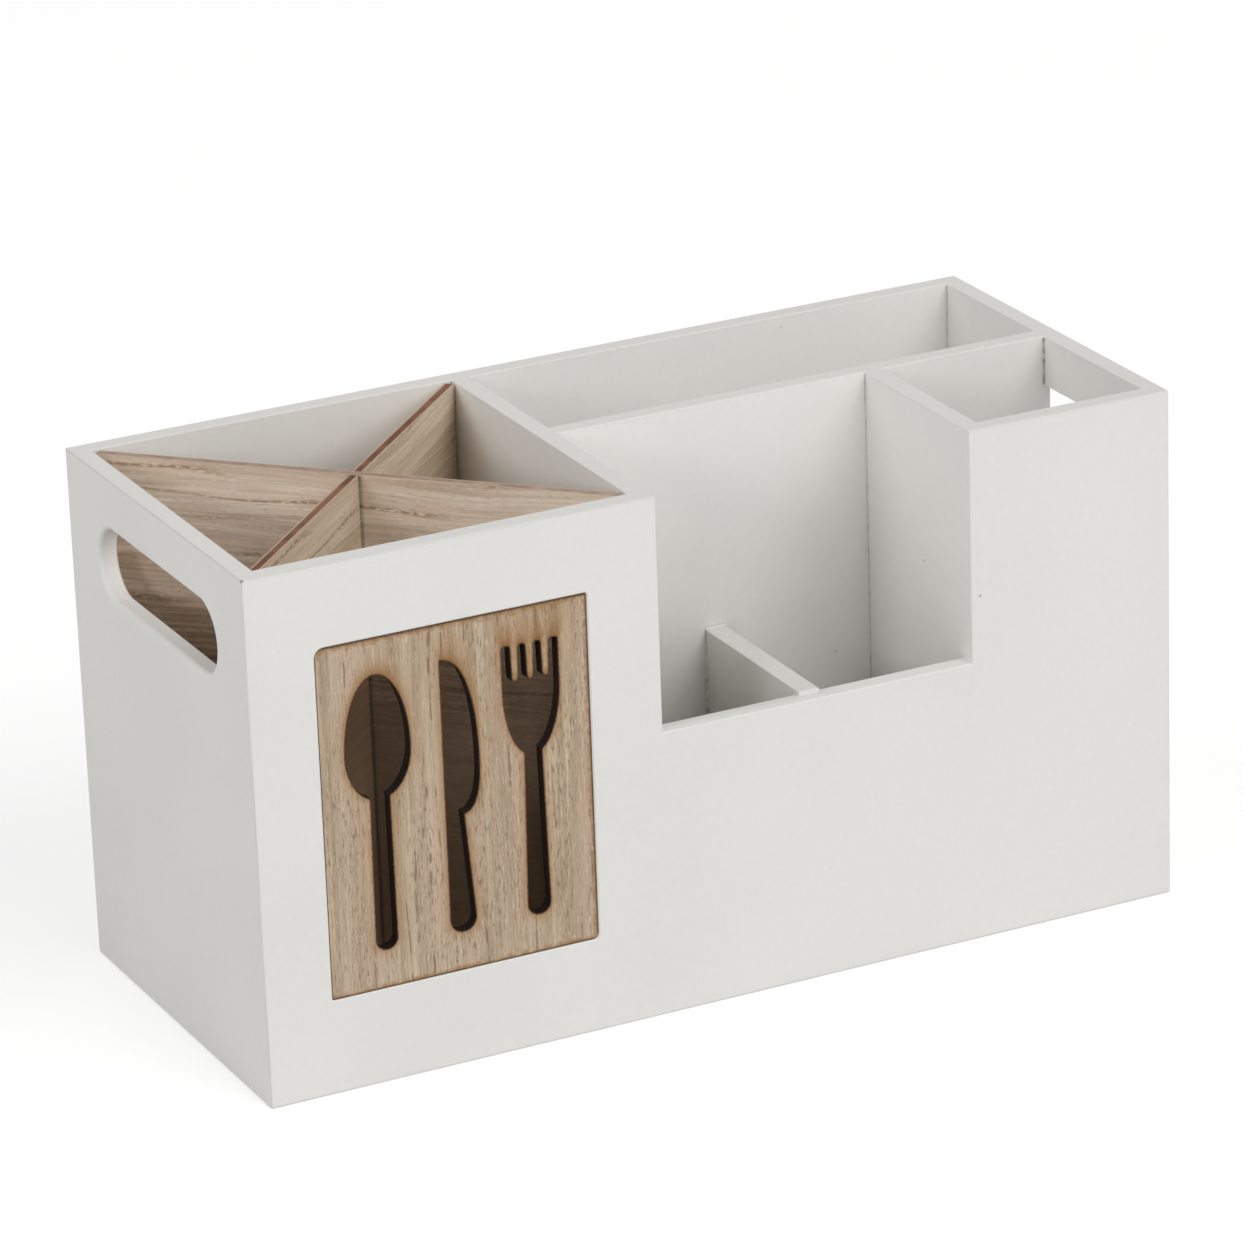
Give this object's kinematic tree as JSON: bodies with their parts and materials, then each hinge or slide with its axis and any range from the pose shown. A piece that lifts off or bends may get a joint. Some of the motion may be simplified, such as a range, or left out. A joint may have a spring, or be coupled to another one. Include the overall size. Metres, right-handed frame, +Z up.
{
  "type": "utensil box",
  "caption": "Open-topped box of painted board for kitchen utensils, with divided bays, a notched front wall, hand slots, a lift-out wooden cross and a pierced wooden plaque.",
  "frame": {"origin": "middle of the underside, on the surface that the box stands on", "axes": "+X to the right along the length seen from the front, +Y to the back, +Z up"},
  "size_m": [0.3, 0.129, 0.162],
  "materials": {
    "case_paint": "off-white eggshell paint on fibreboard",
    "plaque_wood": "raw veneer with scorched cut edges",
    "cross_ply": "raw thin ply with scorched cut edges",
    "brad_steel": "bright drawn wire"
  },
  "bodies": {
    "case": {"bottom_panel": "case_paint", "front_panel": "case_paint", "back_panel": "case_paint", "left_end_panel": "case_paint", "right_end_panel": "case_paint", "cutlery_divider": "case_paint", "long_partition": "case_paint", "right_divider": "case_paint", "low_divider": "case_paint", "cutlery_plaque": "plaque_wood", "front_brads": "brad_steel", "back_brads": "brad_steel", "end_brads": "brad_steel", "divider_brads": "brad_steel", "bottom_brads": "brad_steel"},
    "lower_ply": {"cross_lower": "cross_ply"},
    "upper_ply": {"cross_upper": "cross_ply"}
  },
  "joints": [
    {"name": "lower_lift", "type": "slide", "parent": "case", "child": "lower_ply", "axis": [0, 0, 1], "range_m": [0, 0.16]},
    {"name": "upper_lift", "type": "slide", "parent": "lower_ply", "child": "upper_ply", "axis": [0, 0, 1], "range_m": [0, 0.16]}
  ]
}
